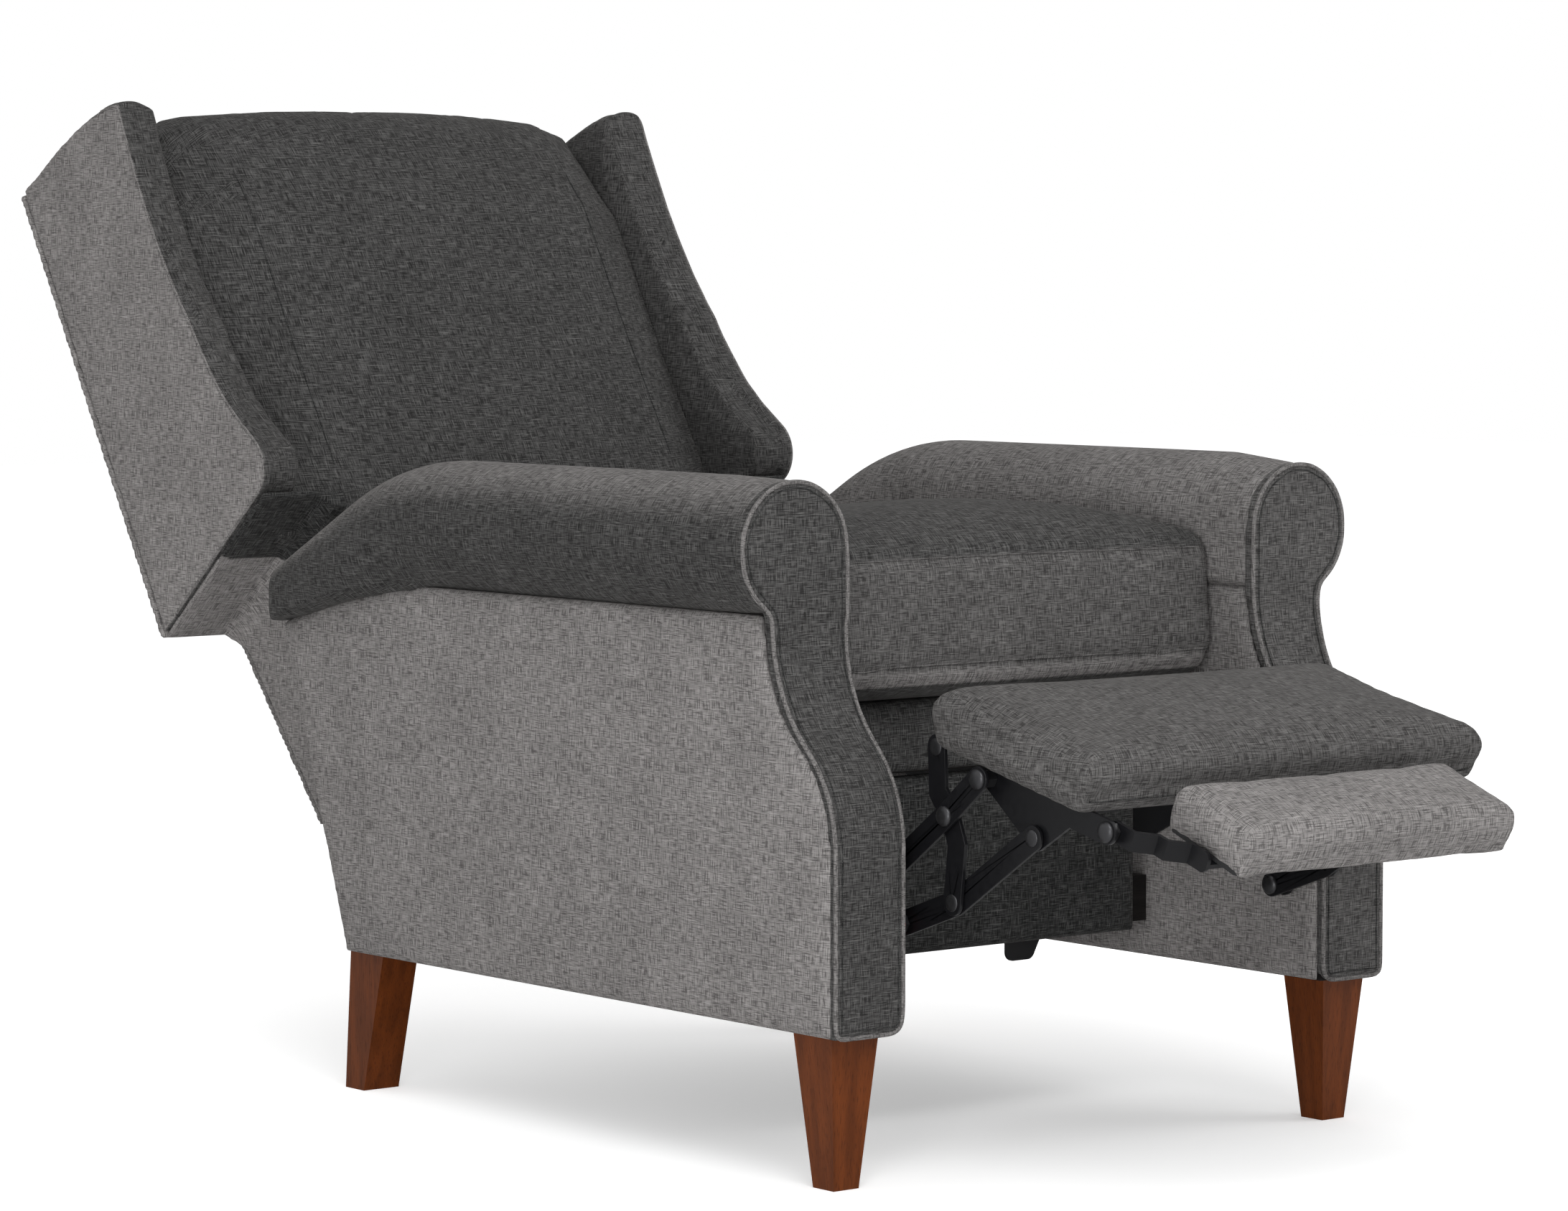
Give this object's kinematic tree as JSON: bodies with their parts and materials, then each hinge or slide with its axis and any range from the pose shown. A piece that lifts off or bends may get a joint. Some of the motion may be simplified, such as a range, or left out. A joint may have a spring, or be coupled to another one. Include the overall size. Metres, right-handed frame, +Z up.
{
  "type": "high leg recliner",
  "caption": "Wing-back push-back recliner on tapered wooden legs, with rolled arms, a tilting seat, a reclining back and a folding footrest on a steel linkage.",
  "frame": {"origin": "on the floor, in the middle of the box of the open chair", "axes": "+Z up, the chair faces -Y, +X to the sitter's left"},
  "size_m": [0.749, 1.7187, 0.9774],
  "materials": {
    "upholstery": "charcoal heathered chenille weave",
    "leg_wood": "red-brown stained and lacquered hardwood",
    "frame_wood": "raw plywood and softwood",
    "black_steel": "black powder coat on pressed steel",
    "bolt_steel": "blackened and zinc plated steel",
    "webbing": "dark woven elastic webbing"
  },
  "bodies": {
    "base": {"leg_front_right": "leg_wood", "leg_front_left": "leg_wood", "leg_rear_right": "leg_wood", "leg_rear_left": "leg_wood", "leg_bolts": "bolt_steel", "arm_frame_right": "frame_wood", "arm_frame_left": "frame_wood", "arm_side_panel_right": "upholstery", "arm_side_panel_left": "upholstery", "arm_inner_panel_right": "upholstery", "arm_inner_panel_left": "upholstery", "arm_front_right": "upholstery", "arm_front_left": "upholstery", "arm_roll_right": "upholstery", "arm_roll_left": "upholstery", "front_cross_rail": "frame_wood", "rear_cross_rail": "frame_wood", "rail_bracket": "black_steel", "mechanism_plate_right": "black_steel", "mechanism_plate_left": "black_steel", "pivot_bolts": "bolt_steel"},
    "seat": {"seat_rail_right": "frame_wood", "seat_rail_left": "frame_wood", "seat_front_rail": "frame_wood", "seat_rear_rail": "frame_wood", "seat_webbing": "webbing", "seat_cushion": "upholstery", "seat_front_band": "upholstery", "seat_front_panel": "upholstery", "back_hinge_brackets": "black_steel", "back_pivot_bolts": "bolt_steel"},
    "back": {"back_post_right": "frame_wood", "back_post_left": "frame_wood", "back_top_rail": "frame_wood", "back_middle_rail": "frame_wood", "back_bottom_rail": "frame_wood", "back_webbing": "webbing", "back_cushion": "upholstery", "outer_back_panel": "upholstery", "lower_back_panel": "upholstery", "back_side_panels": "upholstery", "wing_boards": "frame_wood", "wing_pad_right": "upholstery", "wing_pad_left": "upholstery", "back_brackets": "black_steel"},
    "crank": {"crank_links": "black_steel", "crank_rivets": "bolt_steel"},
    "upper_link": {"upper_links": "black_steel", "upper_rivets": "bolt_steel"},
    "lower_link": {"lower_links": "black_steel"},
    "cross_link": {"cross_links": "black_steel"},
    "footrest": {"footrest_board": "frame_wood", "footrest_pad": "upholstery", "footrest_brackets": "black_steel", "flap_pins": "bolt_steel"},
    "flap": {"flap_board": "frame_wood", "flap_pad": "upholstery", "flap_brackets": "black_steel"}
  },
  "joints": [
    {"name": "back_recline", "type": "hinge", "parent": "seat", "child": "back", "pos_m": [0, 0.33777, 0.33525], "axis": [1, 0, 0], "range_deg": [0, 20]},
    {"name": "seat_tilt", "type": "hinge", "parent": "base", "child": "seat", "pos_m": [0, 0.1345, 0.345], "axis": [1, 0, 0], "range_deg": [0, 4.1]},
    {"name": "footrest_fold", "type": "hinge", "parent": "base", "child": "crank", "pos_m": [0, -0.40132, 0.3424], "axis": [1, 0, 0], "range_deg": [0, 131.68]},
    {"name": "upper_link_fold", "type": "hinge", "parent": "crank", "child": "upper_link", "pos_m": [0, -0.4795, 0.282], "axis": [1, 0, 0], "range_deg": [-86.2, 0]},
    {"name": "footrest_tilt", "type": "hinge", "parent": "upper_link", "child": "footrest", "pos_m": [0, -0.597, 0.3718], "axis": [1, 0, 0], "range_deg": [0, 31]},
    {"name": "lower_link_fold", "type": "hinge", "parent": "crank", "child": "lower_link", "pos_m": [0, -0.4845, 0.2325], "axis": [1, 0, 0], "range_deg": [-66, 0]},
    {"name": "cross_link_fold", "type": "hinge", "parent": "upper_link", "child": "cross_link", "pos_m": [0, -0.5525, 0.3355], "axis": [1, 0, 0], "range_deg": [0, 39.1]},
    {"name": "flap_fold", "type": "hinge", "parent": "footrest", "child": "flap", "pos_m": [0, -0.74614, 0.33691], "axis": [1, 0, 0], "range_deg": [0, 165.1]}
  ],
  "couplings": [
    {"joint": "seat_tilt", "follows": "back_recline", "ratio": 0.2},
    {"joint": "upper_link_fold", "follows": "footrest_fold", "ratio": -0.65401},
    {"joint": "footrest_tilt", "follows": "footrest_fold", "ratio": 0.23496},
    {"joint": "lower_link_fold", "follows": "footrest_fold", "ratio": -0.50076},
    {"joint": "cross_link_fold", "follows": "footrest_fold", "ratio": 0.29622},
    {"joint": "flap_fold", "follows": "footrest_fold", "ratio": 1.253}
  ]
}
